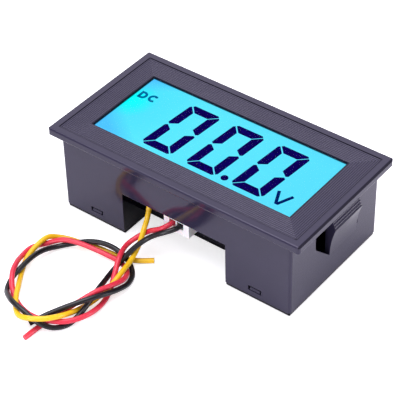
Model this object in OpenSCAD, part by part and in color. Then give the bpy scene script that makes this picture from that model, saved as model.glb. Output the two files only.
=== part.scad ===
// Snap-in digital panel meter: an LCD module in a moulded case, with three loose leads.
// It lies on its back. +X runs along the reading direction, +Y to the top of the digits
// and +Z out of the display. The origin is the middle of the back cover's underside.

/* [Bezel] */
// Length of the bezel
bezel_l = 79; // [77:0.5:84]
// Width of the bezel
bezel_w = 42; // [41:0.5:46]
// Thickness of the bezel's flange
bezel_t = 2.3; // [1.8:0.1:3]
// Corner radius of the bezel, seen from the front
bezel_r = 1; // [0.6:0.1:2]
// Radius of the rounded front edge
bezel_edge_r = 0.6; // [0.3:0.1:1]
// Radius of the rounded rear edge
bezel_rear_r = 0.4; // [0.2:0.1:0.6]
// Width of the raised rim round the front face
rim_w = 2.2; // [1.5:0.1:3]
// Drop from the rim to the front face's grained field
field_drop = 0.15; // [0.1:0.05:0.25]

/* [Case] */
// Height from the back cover to the front face
meter_h = 26; // [25.5:0.5:30]
// Length of the case behind the bezel
skirt_l = 72.6; // [72:0.2:75]
// Width of the case behind the bezel
skirt_w = 38.8; // [38.2:0.2:40]
// Corner radius of the case
skirt_r = 0.8; // [0.5:0.1:1.4]
// Wall thickness of the case
wall = 1.6; // [1.4:0.1:2]
// Thickness of the front plate over the glass
lip_t = 0.5; // [0.4:0.1:1]
// Distance from the end walls to the display window
window_end = 5.2; // [5.1:0.1:7]
// Distance from the long walls to the display window
window_side = 6.6; // [6.4:0.1:7.4]
// Free space at each end for the snap tongues to bend into
flex_gap = 1.7; // [1.5:0.1:2]
// Width of the ribs that centre the display module
rib_w = 1.2; // [0.8:0.1:2]

/* [Lead recess] */
// Length of the recess in the long wall
recess_l = 33; // [30:0.5:36]
// Depth of the recess, from the wall's outer face
recess_depth = 10.4; // [9:0.2:11]
// Thickness of the walls round the recess
recess_wall = 1.4; // [1:0.1:1.8]

/* [Snap tongues] */
// Width of each tongue
tongue_w = 12; // [10:0.5:14]
// Middle of the tongues, towards the top of the digits
tongue_y = 3.7; // [2:0.1:5]
// Distance from the bezel's underside down to the tongue's root
tongue_root_drop = 15.2; // [14.2:0.2:16.2]
// Distance from the bezel's underside down to the widest point of the tongue
tongue_tip_drop = 6.4; // [5.8:0.1:7]
// Reach of the widest point beyond the wall
tongue_reach = 1.5; // [1.2:0.1:1.8]
// Thickness of the tongue
tongue_t = 1.5; // [1.2:0.1:1.6]
// Number of ratchet steps above the widest point
step_count = 5; // [3:1:5]
// Height of one ratchet step
step_h = 0.75; // [0.6:0.05:0.85]
// Depth of one ratchet step
step_d = 0.28; // [0.2:0.01:0.28]
// Gap between the tongue's free end and the flange
tongue_top_gap = 1.4; // [1:0.1:2]
// Width of the opening on the recess side of the tongue
tongue_window_w = 6.5; // [5:0.5:7]
// Width of the slot on the other side of the tongue
tongue_slot_w = 0.5; // [0.4:0.1:1]

/* [Back cover] */
// Thickness of the back cover
cover_t = 1.2; // [1:0.1:1.6]
// Step in from the case walls to the cover
cover_inset = 0.15; // [0.1:0.05:0.3]
// Edge radius of the back cover
cover_edge_r = 0.7; // [0.3:0.1:0.9]
// Height of the locating rim above the plate
cover_rim_h = 1; // [0.6:0.1:1.2]
// Thickness of the locating rim
cover_rim_t = 1; // [0.8:0.1:1.4]
// Distance of the latches from the middle
latch_x = 25.6; // [23:0.2:28]
// Width of a latch window
latch_w = 4; // [3.4:0.2:5]
// Height of a latch window
latch_h = 1.5; // [1.3:0.1:1.6]
// Height of the latch windows above the base
latch_z = 2.7; // [2.5:0.1:3]
// Diameter of the posts that press the board forward
post_d = 4; // [3:0.5:5]

/* [Display module] */
// Thickness of the front glass with its polariser
front_glass_t = 0.9; // [0.7:0.1:1.2]
// Gap between the two glasses
cell_gap = 0.2; // [0.15:0.05:0.3]
// Thickness of the rear glass with its polariser
rear_glass_t = 1.1; // [0.9:0.1:1.2]
// Width of the front glass's contact ledge
ledge_w = 2.5; // [2.4:0.1:2.7]
// Width of the seal between the glasses
seal_w = 0.4; // [0.3:0.1:1]
// Thickness of the light guide
guide_t = 4.5; // [4:0.1:4.6]
// Thickness of the diffuser and reflector films
film_t = 0.2; // [0.1:0.05:0.3]
// Thickness of the frame's outer walls
frame_wall = 0.8; // [0.6:0.1:1]
// Width of the rubber contact strips
zebra_w = 2; // [1.6:0.1:2]
// Diameter of the frame's pins through the board
pin_d = 1.2; // [1:0.1:1.4]

/* [Digits] */
// Height of a digit
digit_h = 20.1; // [18:0.1:21]
// Width of a digit
digit_w = 9.7; // [9:0.1:10.4]
// Distance from one digit to the next
digit_pitch = 14.2; // [13.6:0.1:14.4]
// Middle of the second digit
digit_x = 2.2; // [1:0.1:4]
// Middle of the digits from the middle of the window
digit_y = 0.15; // [-0.5:0.05:0.5]
// Stroke width of a segment
stroke = 2.5; // [1.8:0.1:2.7]
// Gap between neighbouring segments
segment_gap = 0.36; // [0.2:0.02:0.5]
// Lean of the digits, in degrees
digit_lean = 4.2; // [0:0.2:8]
// Diameter of the decimal point
point_d = 2; // [1.4:0.1:2.4]

/* [Circuit board] */
// Space between the board and the display frame's floor
board_gap = 1.8; // [1.5:0.1:1.9]
// Thickness of the board
board_t = 1.6; // [1.2:0.1:1.8]
// Length of the converter chip
chip_l = 18; // [16:0.5:20]
// Width of the converter chip
chip_w = 7.6; // [6.5:0.1:9]
// Thickness of the converter chip
chip_t = 2.4; // [1.8:0.1:2.8]
// Number of pins on each side of the chip
chip_pins = 14; // [8:1:14]
// Diameter of the electrolytic capacitors
cap_d = 5; // [4:0.5:6]
// Length of the electrolytic capacitors
cap_l = 7; // [5:0.5:9]
// Side of the calibration trimmer's square body
trimmer_w = 6.6; // [6:0.1:8]
// Height of the trimmer's body
trimmer_h = 3.4; // [3:0.1:4]
// Diameter of the trimmer's rotor
rotor_d = 4.6; // [4:0.1:5]
// Diameter of the rotor's pivot
pivot_d = 2; // [1.4:0.1:2.4]

/* [Connector and leads] */
// Distance between the two connector contacts
contact_pitch = 2.5; // [2.5:0.1:2.9]
// Width of the plug
plug_w = 8; // [7:0.1:8.4]
// Height of the plug
plug_h = 5.6; // [5:0.1:5.8]
// Length of the plug
plug_l = 8; // [7:0.2:9]
// Distance from the wall's outer face back to the plug
plug_setback = 1.4; // [1:0.1:2]
// Wall thickness of the connector socket
socket_wall = 0.6; // [0.5:0.05:0.7]
// Diameter of each lead
lead_d = 1.4; // [1:0.1:1.4]

/* [Clearances] */
// Clearance of the module, the board and the cover's rim in the case
fit = 0.2; // [0.1:0.05:0.3]
// Clearance of small sliding and seated pieces
small_fit = 0.1; // [0.05:0.01:0.15]
// Running clearance of the trimmer's pivot, on the radius
pivot_fit = 0.05; // [0.02:0.01:0.08]

/* [Hidden] */
$fn = 64;
e = 0.5; // overshoot of a cut past the face it opens

// Heights of the stack, from the back
flange_z = meter_h - bezel_t;
lip_z = meter_h - lip_t;
front_glass_z = lip_z - front_glass_t;
cell_z = front_glass_z - cell_gap;
rear_glass_z = cell_z - rear_glass_t;
guide_z = rear_glass_z - film_t - guide_t;
floor_z = guide_z - film_t;
frame_floor_t = 1;
frame_z = floor_z - frame_floor_t - board_gap;
board_z = frame_z - board_t;
recess_h = board_z - fit;

// Plan sizes of what sits in the case
in_l = skirt_l - 2 * wall;
in_w = skirt_w - 2 * wall;
inner_r = 0.3;
window_l = skirt_l - 2 * window_end;
window_w = skirt_w - 2 * window_side;
frame_l = in_l - 2 * flex_gap;
frame_w = in_w - 2 * fit;
glass_l = frame_l - 2 * frame_wall - 2 * fit;
glass_w = frame_w - 2 * frame_wall - 2 * fit;
rear_w = glass_w - 2 * ledge_w;
guide_over = 0.1;
guide_l = window_l + 2 * guide_over;
guide_w = window_w + 2 * guide_over;
zebra_y = (glass_w + rear_w) / 4;
zebra_end = 1.8;
zebra_l = glass_l - 2 * zebra_end;
rib_inset = 2.8;
rib_y = in_w / 2 - rib_inset;
pin_inset = 1.5;
pin_x = frame_l / 2 - pin_inset;
pin_y = frame_w / 2 - pin_inset;
pin_head_rim = 0.5;
pin_head_d = pin_d + 2 * pin_head_rim;
pin_head_h = 0.8;
recess_y = recess_depth - skirt_w / 2;
post_inset = 4.1;
post_x = frame_l / 2 - post_inset;
post_y = frame_w / 2 - post_inset;

// Snap tongues
tongue_y0 = tongue_y - tongue_w / 2;
tongue_y1 = tongue_y + tongue_w / 2;
tongue_root_z = flange_z - tongue_root_drop;
tongue_tip_z = flange_z - tongue_tip_drop;
tongue_top = flange_z - tongue_top_gap;
ramp_h = tongue_tip_z - tongue_root_z;
ramp_r = (ramp_h * ramp_h + tongue_reach * tongue_reach) / (2 * tongue_reach);
window_slope = 44;
window_corner_r = 2;
slot_rise = 2;
slot_z = tongue_root_z + slot_rise;

// Latches of the back cover
hook_gap = 0.5;
hook_t = 1;
hook_setback = 0.05;
nose_gap = 0.25;
nose_flat = 0.25;
nose_slope = 0.1;

// Backlight lamp
led_t = 1.1;
led_w = 3.8;
led_h = 2.4;
led_leg = 0.4;

// Connector, from the plug's wire end inward
contact_drop = 3;
contact_z = board_z - contact_drop;
plug_y = plug_setback - skirt_w / 2;
nose_l = plug_l / 2;
nose_w = plug_w - 2 * socket_wall - 2 * small_fit;
nose_h = plug_h - 2 * socket_wall - 2 * small_fit;
socket_y = plug_y + plug_l - nose_l;
pin_block_l = 5;
socket_l = nose_l + pin_block_l;
socket_h = 2 * (board_z - contact_z);
contact_w = 1.8;
contact_l = 5.8;
cavity_w = contact_w + 2 * small_fit;
lead_in = 1.5;
pin_t = 0.64;
pin_tail_gap = 1;
pin_tail_y = socket_y + socket_l + pin_tail_gap;
pin_setback = 0.6;
pin_over = 0.8;
joint_rim = 0.4;
joint_h = 0.5;
contact_back_t = 0.6;

// Places of the components under the board
chip_at = [4, 7];
chip_pitch = 1.27;
chip_pin_w = 0.42;
chip_pin_t = 0.2;
chip_pin_reach = 1.4;
chip_standoff = 0.2;
cap_at = [[-12, 3], [-12, 11]];
cap_lead_gap = 2;
lead_wire_d = 0.5;
component_standoff = 0.3;
regulator_at = [20, 10];
regulator_d = 4.6;
regulator_h = 4.6;
regulator_drop = 2;
diode_at = [22, 1];
diode_d = 2.6;
diode_l = 5;
diode_span = 8;
resistor_size = [1.6, 3.2, 0.6];
resistor_at = [18, -4.5];
resistor_count = 6;
ceramic_size = [1.25, 2, 1];
ceramic_at = [-29, -4.5];
ceramic_count = 5;
row_pitch = 2.6;
trimmer_at = [-22, 6];
rotor_t = 1.1;
rotor_slot_margin = 0.55;
rotor_slot_w = 0.8;
rotor_slot_depth = 0.5;
rotor_pocket = 1.2;
pivot_l = 1.4;
pad_inset = 2.9;
pad_at = [-10, pad_inset - skirt_w / 2];
pad_d = 2.2;
pad_h = 0.5;

// Digits
corner_cut = 1.1;
middle_gap = 0.25;
tip_inset = 0.6;
tip_rise = 0.45;
segment_t = 0.1;

// Routes of the three leads, from the meter to the bare ends
red_route = [
    [-1.25, -16.5, 11], [-1.25, -18, 11], [-1.62, -19.29, 10.76], [-2.39, -20.27, 10.26],
    [-3.47, -20.8, 9.53], [-4.85, -20.8, 8.56], [-6.8, -20.61, 7.07], [-9.07, -21.8, 5.24],
    [-10.37, -25.55, 4.12], [-8.78, -30.5, 4.46], [-7.01, -34.57, 2.84], [-5.47, -38.32, 1.06],
    [-4.1, -42.33, 0.79], [-3.34, -46.66, 1.45], [-3.75, -50.98, 2.11], [-5.89, -54.8, 2.38],
    [-9.4, -57.29, 2.53], [-13.31, -58.48, 2.7], [-17.44, -57.52, 1.84], [-21.37, -55.84, 1.24],
    [-24.73, -53.66, 2.22], [-27.27, -50.75, 3.57], [-29.29, -47.08, 3.31], [-31.25, -43.21, 1.71],
    [-31.8, -38.66, 1.21], [-29.7, -35.04, 1.17], [-26.18, -32.76, 2.59], [-22.26, -31.48, 2.83],
    [-18.18, -30.4, 2.24], [-13.87, -29.51, 1.48], [-9.37, -29.42, 1.18], [-5.69, -31.51, 1.54],
    [-3.69, -35.2, 2.87], [-3.96, -39.65, 4], [-5.29, -43.97, 4.42], [-7.06, -47.81, 3.37],
    [-9.11, -51.3, 1.78], [-10.56, -55.21, 0.84], [-11.2, -59.55, 0.79], [-11.47, -63.97, 0.79]
];
black_route = [
    [1.25, -16.5, 11], [1.25, -18, 11], [0.83, -19.35, 10.89], [-0.05, -20.62, 10.6],
    [-1.5, -21.68, 9.95], [-3.44, -22.42, 8.7], [-5.47, -23.54, 7.1], [-7.29, -26.28, 5.2],
    [-8.53, -29.5, 2.97], [-8.68, -33.61, 1.87], [-7.75, -37.81, 2.13], [-6.48, -41.88, 2.99],
    [-5.76, -45.99, 2.5], [-5.38, -50.19, 1.6], [-5.96, -54.22, 0.76], [-7.85, -57.72, 1.4],
    [-10.99, -59.63, 2.99], [-15.02, -59.63, 4.24], [-19.22, -58.96, 4.44], [-22.8, -57, 3.09],
    [-25.91, -54.46, 1.61], [-27.62, -50.69, 1.79], [-27.98, -46.44, 2.45], [-28.16, -42.23, 2.56],
    [-28.05, -38.12, 1.88], [-26.71, -34.37, 1.14], [-24, -31.36, 1.42], [-20.48, -29.2, 2.44],
    [-16.44, -27.94, 3.02], [-12.06, -27.66, 2.89], [-7.99, -28.21, 1.63], [-4.78, -30.43, 0.78],
    [-3.05, -34.1, 1.12], [-2.75, -38.19, 2.33], [-3.14, -42.19, 3.68], [-4.46, -46.03, 4.43],
    [-6.61, -49.6, 4.2], [-9.19, -52.87, 3.22], [-11.78, -56.06, 1.92], [-13.91, -59.55, 0.76]
];
yellow_route = [
    [-10, -16.5, 13.5], [-10, -16.5, 12], [-9.8, -16.92, 10.69], [-9.37, -17.82, 9.6],
    [-8.69, -19.31, 8.73], [-7.86, -21.63, 7.69], [-7.42, -23.65, 5.52], [-7.27, -26.1, 3.37],
    [-6.55, -29.26, 2.81], [-5.58, -33.12, 3.23], [-5.04, -37.11, 2.84], [-5.2, -40.86, 2.15],
    [-6.06, -44.47, 1.17], [-6.83, -48.23, 1.18], [-6.98, -51.91, 2.39], [-7.25, -55.55, 3.97],
    [-9.16, -59.01, 4.73], [-12.43, -61.08, 4.64], [-15.87, -60.88, 3.52], [-19, -58.64, 2.78],
    [-21.52, -55.67, 2.95], [-23.72, -52.44, 2.61], [-26.06, -49.52, 1.25], [-28.25, -46.33, 0.76],
    [-29.77, -42.73, 1.55], [-30.27, -38.74, 2.3], [-30.05, -34.41, 2.61], [-28.66, -31.56, 1.41],
    [-25.88, -29.95, 0.85], [-22.2, -29.13, 0.76], [-18.34, -28.32, 0.86], [-14.43, -27.9, 0.84],
    [-10.48, -27.42, 0.76], [-6.67, -25.93, 0.79], [-3.18, -23.55, 0.97]
];
lead_sides = 8;
rings_per_span = 2;
fade_points = 8;

// ---- Shared shapes ----

// Rectangle with round corners, centred
module rounded_rect(l, w, r) {
    square([l - 2 * r, w], center = true);
    square([l, w - 2 * r], center = true);
    for (sx = [-1, 1], sy = [-1, 1])
        translate([sx * (l / 2 - r), sy * (w / 2 - r)])
            circle(r);
}

// Section with rounded corners, large ones above and small ones below, standing on the X axis
module plate_section(l, h, upper_r, lower_r) {
    translate([-l / 2, lower_r])
        square([l, h - upper_r - lower_r]);
    translate([lower_r - l / 2, 0])
        square([l - 2 * lower_r, h - upper_r]);
    translate([upper_r - l / 2, lower_r])
        square([l - 2 * upper_r, h - lower_r]);
    for (s = [-1, 1]) {
        translate([s * (l / 2 - upper_r), h - upper_r])
            circle(upper_r);
        translate([s * (l / 2 - lower_r), lower_r])
            circle(lower_r);
    }
}

// Plate with round corners in plan and round edges
module round_edged_plate(l, w, h, corner_r, upper_r, lower_r) {
    intersection() {
        linear_extrude(h)
            rounded_rect(l, w, corner_r);
        translate([0, w / 2 + e, 0])
            rotate([90, 0, 0])
                linear_extrude(w + 2 * e)
                    plate_section(l, h, upper_r, lower_r);
        translate([-l / 2 - e, 0, 0])
            rotate([90, 0, 90])
                linear_extrude(l + 2 * e)
                    plate_section(w, h, upper_r, lower_r);
    }
}

// Plan of the case behind the bezel, set in by inset, less the lead recess grown by grow
module case_plan(inset, grow) {
    difference() {
        rounded_rect(skirt_l - 2 * inset, skirt_w - 2 * inset, max(skirt_r - inset, inner_r));
        translate([-recess_l / 2 - grow, -skirt_w / 2 - e])
            square([recess_l + 2 * grow, recess_depth + grow + e]);
    }
}

module block(size, at) {
    translate([at.x - size.x / 2, at.y - size.y / 2, at.z])
        cube(size);
}

// ---- Case ----

// Outline of the tongue, outward from the wall's outer face and upward
module tongue_profile() {
    difference() {
        translate([-tongue_t, tongue_root_z])
            square([tongue_t + tongue_reach, ramp_h]);
        translate([ramp_r, tongue_root_z])
            circle(ramp_r, $fn = 128);
    }
    for (i = [1:step_count])
        translate([-tongue_t, tongue_tip_z])
            square([tongue_t + tongue_reach - i * step_d, i * step_h]);
    translate([-tongue_t, tongue_tip_z])
        square([tongue_t, tongue_top - tongue_tip_z]);
}

// Outline of the opening round the tongue, along the wall and upward
module tongue_opening() {
    y_lo = tongue_y0 - tongue_window_w;
    corner_z = tongue_root_z + tongue_window_w * tan(window_slope);
    turn = 90 - window_slope;
    arc_z = corner_z + window_corner_r * tan(turn / 2);
    arc = [for (a = [0:turn / 6:turn])
        [y_lo + window_corner_r * (1 - cos(a)), arc_z - window_corner_r * sin(a)]];
    polygon(concat(
        [[tongue_y1 + tongue_slot_w, slot_z], [tongue_y1 + tongue_slot_w, flange_z]],
        [[y_lo, flange_z]],
        arc,
        [[tongue_y0, tongue_root_z], [tongue_y1, tongue_root_z], [tongue_y1, slot_z]]
    ));
}

module wall_side(s) {
    if (s > 0)
        translate([skirt_l / 2, 0, 0])
            children();
    else
        mirror([1, 0, 0])
            translate([skirt_l / 2, 0, 0])
                children();
}

module case_shell() {
    difference() {
        union() {
            translate([0, 0, flange_z])
                round_edged_plate(bezel_l, bezel_w, bezel_t, bezel_r, bezel_edge_r, bezel_rear_r);
            translate([0, 0, cover_t])
                linear_extrude(flange_z - cover_t)
                    rounded_rect(skirt_l, skirt_w, skirt_r);
        }
        // room for the electronics behind and for the display module in front
        translate([0, 0, cover_t - e])
            linear_extrude(recess_h - cover_t + e)
                case_plan(wall, recess_wall);
        translate([0, 0, recess_h])
            linear_extrude(lip_z - recess_h)
                rounded_rect(in_l, in_w, max(skirt_r - wall, inner_r));
        translate([-window_l / 2, -window_w / 2, lip_z - e])
            cube([window_l, window_w, lip_t + 2 * e]);
        // lead recess and the socket's way through its back wall
        translate([-recess_l / 2, -skirt_w / 2 - e, cover_t - e])
            cube([recess_l, recess_depth + e, recess_h - cover_t + e]);
        translate([-plug_w / 2 - fit, recess_y - e, contact_z - socket_h / 2 - fit])
            cube([plug_w + 2 * fit, recess_wall + 2 * e, socket_h]);
        // latch windows
        for (sx = [-1, 1], sy = [-1, 1])
            block([latch_w, 2 * wall + 2 * e, latch_h], [sx * latch_x, sy * skirt_w / 2, latch_z]);
        // openings round the snap tongues
        for (s = [-1, 1])
            wall_side(s)
                translate([-wall - e, 0, 0])
                    rotate([90, 0, 90])
                        linear_extrude(wall + 2 * e)
                            tongue_opening();
        // field of the front face, a little lower than its rim
        translate([0, 0, meter_h - field_drop])
            linear_extrude(field_drop + e)
                rounded_rect(bezel_l - 2 * rim_w, bezel_w - 2 * rim_w, bezel_r);
    }
}

module case() {
    color("#2b2a31") {
        case_shell();
        for (s = [-1, 1])
            wall_side(s)
                translate([0, tongue_y1, 0])
                    rotate([90, 0, 0])
                        linear_extrude(tongue_w)
                            tongue_profile();
        // ribs that centre the display module between the tongues' bending spaces
        for (sx = [-1, 1], sy = [-1, 1])
            block(
                [flex_gap - fit + e, rib_w, lip_z - board_z + small_fit],
                [sx * (in_l / 2 - (flex_gap - fit) / 2 + e / 2), sy * rib_y, board_z]
            );
    }
}

// Side view of a latch hook, outward and upward: a leg with a nose, its upper face sloped
module hook_profile() {
    leg_y = in_w / 2 - fit;
    nose_z = latch_z + nose_gap;
    hook_top = latch_z + latch_h - hook_gap;
    polygon([
        [leg_y - hook_t, cover_t / 2], [leg_y, cover_t / 2], [leg_y, nose_z],
        [skirt_w / 2 - hook_setback, nose_z], [skirt_w / 2 - hook_setback, nose_z + nose_flat],
        [skirt_w / 2 - hook_setback - nose_slope, hook_top], [leg_y - hook_t, hook_top]
    ]);
}

module back_cover() {
    hook_w = latch_w - 2 * hook_gap;
    color("#26252b") {
        intersection() {
            linear_extrude(cover_t)
                case_plan(cover_inset, cover_inset);
            translate([0, 0, cover_t + e])
                mirror([0, 0, 1])
                    round_edged_plate(
                        skirt_l - 2 * cover_inset, skirt_w - 2 * cover_inset, cover_t + e,
                        skirt_r, cover_edge_r, e / 2
                    );
        }
        translate([0, 0, cover_t])
            linear_extrude(cover_rim_h)
                difference() {
                    case_plan(wall + fit, recess_wall + fit);
                    case_plan(wall + fit + cover_rim_t, recess_wall + fit + cover_rim_t);
                }
        for (sx = [-1, 1], sy = [0, 1]) {
            mirror([0, sy, 0])
                translate([sx * latch_x - hook_w / 2, 0, 0])
                    rotate([90, 0, 90])
                        linear_extrude(hook_w)
                            hook_profile();
        }
        for (sx = [-1, 1], sy = [-1, 1]) {
            translate([sx * post_x, sy * post_y, cover_t / 2])
                cylinder(d = post_d, h = board_z - cover_t / 2);
        }
    }
}

// ---- Display ----

module lcd_front_glass() {
    color("#8fe3ff", 0.35)
        block([glass_l, glass_w, front_glass_t], [0, 0, front_glass_z]);
}

module lcd_rear_glass() {
    color("#5fdcff")
        block([glass_l, rear_w, rear_glass_t], [0, 0, rear_glass_z]);
}

module lcd_seal() {
    color("#d9d3bd")
        translate([0, 0, cell_z])
            linear_extrude(cell_gap)
                difference() {
                    square([glass_l, rear_w], center = true);
                    square([glass_l - 2 * seal_w, rear_w - 2 * seal_w], center = true);
                }
}

function lean(p) = [p.x + p.y * tan(digit_lean), p.y];

// Half sizes of a digit and the offset of a mitre line
half_w = digit_w / 2;
half_h = digit_h / 2;
mitre = segment_gap / sqrt(2);

// Top stroke of a digit, as points round its middle
top_stroke = [
    [corner_cut - half_w, half_h],
    [half_w - corner_cut, half_h],
    [half_w - (mitre + corner_cut) / 2, half_h + (mitre - corner_cut) / 2],
    [half_w - mitre - stroke, half_h - stroke],
    [mitre + stroke - half_w, half_h - stroke],
    [(mitre + corner_cut) / 2 - half_w, half_h + (mitre - corner_cut) / 2]
];

// Upper left stroke of a digit
side_stroke = [
    [-half_w, half_h - corner_cut],
    [(corner_cut - mitre) / 2 - half_w, half_h - (mitre + corner_cut) / 2],
    [stroke - half_w, half_h - stroke - mitre],
    [stroke - half_w, stroke / 2 + segment_gap],
    [tip_inset - half_w, middle_gap],
    [-half_w, middle_gap + tip_rise]
];

// One stroke of a leaning digit, turned to its side by sx and sy
module lcd_stroke(points, sx, sy) {
    polygon([for (p = points) lean([sx * p.x, sy * p.y])]);
}

module digit_segments() {
    color("#0c0a5c")
        translate([0, digit_y, cell_z])
            linear_extrude(segment_t) {
                for (i = [-1:1])
                    translate([digit_x + i * digit_pitch, 0])
                        for (sy = [-1, 1]) {
                            lcd_stroke(top_stroke, 1, sy);
                            for (sx = [-1, 1])
                                lcd_stroke(side_stroke, sx, sy);
                        }
                translate(lean([digit_x + digit_pitch / 2, point_d / 2 - half_h]))
                    circle(d = point_d);
            }
}

module diffuser_film() {
    color("white")
        block([guide_l, guide_w, film_t], [0, 0, rear_glass_z - film_t]);
}

module light_guide() {
    color("#cfefff", 0.6)
        block([guide_l, guide_w, guide_t], [0, 0, guide_z]);
}

module reflector_film() {
    color("#e8ecef")
        block([guide_l, guide_w, film_t], [0, 0, floor_z]);
}

module backlight_frame() {
    pocket = [guide_l + 2 * small_fit, guide_w + 2 * small_fit];
    color("#f2f1ec") {
        difference() {
            block([frame_l, frame_w, lip_z - frame_z], [0, 0, frame_z]);
            block(
                [frame_l - 2 * frame_wall, frame_w - 2 * frame_wall, lip_z - rear_glass_z + e],
                [0, 0, rear_glass_z]
            );
            block([pocket.x, pocket.y, lip_z - floor_z], [0, 0, floor_z]);
            block(
                [pocket.x, pocket.y, floor_z - frame_floor_t - frame_z + e],
                [0, 0, frame_z - e]
            );
            for (s = [-1, 1])
                block(
                    [zebra_l + 2 * small_fit, zebra_w + 2 * small_fit, lip_z - frame_z + 2 * e],
                    [0, s * zebra_y, frame_z - e]
                );
            block(
                [2 * (led_t + small_fit), led_w + 2 * small_fit, lip_z - frame_z + 2 * e],
                [-pocket.x / 2, 0, frame_z - e]
            );
        }
        for (sx = [-1, 1], sy = [-1, 1])
            translate([sx * pin_x, sy * pin_y, 0]) {
                translate([0, 0, board_z - pin_head_h])
                    cylinder(d = pin_d, h = frame_z + e - board_z + pin_head_h);
                translate([0, 0, board_z - pin_head_h])
                    cylinder(d = pin_head_d, h = pin_head_h);
            }
    }
}

module backlight_led() {
    led_z = guide_z + (guide_t - led_h) / 2;
    led_x = -guide_l / 2 - small_fit - led_t / 2;
    color("#f4f6ff") {
        block([led_t, led_w, led_h], [led_x, 0, led_z]);
        for (s = [-1, 1])
            block([led_leg, led_leg, led_z + e - frame_z], [led_x, s * led_w / 3, frame_z]);
    }
}

module zebra_strips() {
    color("#3a3f52")
        for (s = [-1, 1])
            block([zebra_l, zebra_w, front_glass_z - frame_z], [0, s * zebra_y, frame_z]);
}

// ---- Circuit board ----

// Drills a hole through the board
module board_hole(at, d) {
    translate([at.x, at.y, board_z - e])
        cylinder(d = d, h = board_t + 2 * e);
}

module circuit_board() {
    hole_d = lead_wire_d + 2 * small_fit;
    color("#1f6b3a")
        difference() {
            block([frame_l, frame_w, board_t], [0, 0, board_z]);
            for (sx = [-1, 1], sy = [-1, 1])
                board_hole([sx * pin_x, sy * pin_y], pin_d + 2 * small_fit);
            for (s = [-1, 1])
                board_hole([s * contact_pitch / 2, pin_tail_y], pin_t * sqrt(2) + 2 * small_fit);
            for (at = cap_at, s = [-1, 1])
                board_hole([at.x + s * cap_lead_gap / 2, at.y], hole_d);
            for (i = [-1:1])
                board_hole([regulator_at.x + i * chip_pitch, regulator_at.y], hole_d);
            for (s = [-1, 1])
                board_hole([diode_at.x + s * diode_span / 2, diode_at.y], hole_d);
        }
}

module converter_chip() {
    color("#1b1b1f")
        block([chip_l, chip_w, chip_t], [chip_at.x, chip_at.y, board_z - chip_standoff - chip_t]);
}

// Bent pin of the chip: out of the body, up to the board and out along it
module gull_pin() {
    rise = chip_standoff + chip_t / 2;
    rotate([90, 0, 0])
        linear_extrude(chip_pin_w, center = true)
            polygon([
                [0, -rise - chip_pin_t / 2], [chip_pin_reach / 2, -rise - chip_pin_t / 2],
                [chip_pin_reach / 2, -chip_pin_t], [chip_pin_reach, -chip_pin_t],
                [chip_pin_reach, 0], [chip_pin_reach / 2 - chip_pin_t, 0],
                [chip_pin_reach / 2 - chip_pin_t, -rise + chip_pin_t / 2],
                [0, -rise + chip_pin_t / 2]
            ]);
}

module chip_pins() {
    color("silver")
        for (side = [0, 1], i = [0:chip_pins - 1])
            translate([chip_at.x + (i - (chip_pins - 1) / 2) * chip_pitch, chip_at.y, board_z])
                rotate([0, 0, 90 + 180 * side])
                    translate([chip_w / 2, 0, 0])
                        gull_pin();
}

module electrolytic_capacitors() {
    color("#20304a")
        for (at = cap_at)
            translate([at.x, at.y, board_z - component_standoff - cap_l])
                cylinder(d = cap_d, h = cap_l);
}

module voltage_regulator() {
    color("#1d1d20")
        translate([regulator_at.x, regulator_at.y, board_z - regulator_drop - regulator_h])
            linear_extrude(regulator_h)
                difference() {
                    circle(d = regulator_d);
                    translate([-regulator_d, regulator_d / 4])
                        square([2 * regulator_d, regulator_d]);
                }
}

module input_diode() {
    color("#2a2a2e")
        translate([diode_at.x - diode_l / 2, diode_at.y, board_z - component_standoff - diode_d / 2])
            rotate([0, 90, 0])
                cylinder(d = diode_d, h = diode_l);
}

// Round wire leg up into the board
module leg(at, from_z) {
    translate([at.x, at.y, from_z])
        cylinder(d = lead_wire_d, h = board_z + board_t - from_z);
}

module component_leads() {
    diode_z = board_z - component_standoff - diode_d / 2;
    color("silver") {
        for (at = cap_at, s = [-1, 1])
            leg([at.x + s * cap_lead_gap / 2, at.y], board_z - component_standoff);
        for (i = [-1:1])
            leg([regulator_at.x + i * chip_pitch, regulator_at.y], board_z - regulator_drop);
        for (s = [-1, 1])
            translate([diode_at.x, diode_at.y, 0])
                rotate([0, 0, s > 0 ? 0 : 180]) {
                    translate([diode_l / 2, 0, diode_z])
                        rotate([0, 90, 0])
                            cylinder(d = lead_wire_d, h = (diode_span - diode_l) / 2);
                    translate([diode_span / 2, 0, diode_z])
                        sphere(d = lead_wire_d, $fn = 32);
                    leg([diode_span / 2, 0], diode_z);
                }
    }
}

module chip_resistors() {
    color("#24242a")
        for (i = [0:resistor_count - 1])
            block(
                resistor_size,
                [resistor_at.x + i * row_pitch, resistor_at.y, board_z - resistor_size.z]
            );
}

module ceramic_capacitors() {
    color("#b08d62")
        for (i = [0:ceramic_count - 1])
            block(
                ceramic_size,
                [ceramic_at.x + i * row_pitch, ceramic_at.y, board_z - ceramic_size.z]
            );
}

module trimmer_body() {
    color("#2c62c8")
        translate([trimmer_at.x, trimmer_at.y, 0])
            difference() {
                block([trimmer_w, trimmer_w, trimmer_h], [0, 0, board_z - trimmer_h]);
                translate([0, 0, board_z - trimmer_h - e])
                    cylinder(d = rotor_d + 4 * small_fit, h = rotor_pocket + e);
                translate([0, 0, board_z - trimmer_h])
                    cylinder(d = pivot_d + 2 * pivot_fit, h = rotor_pocket + pivot_l + small_fit);
            }
}

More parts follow.
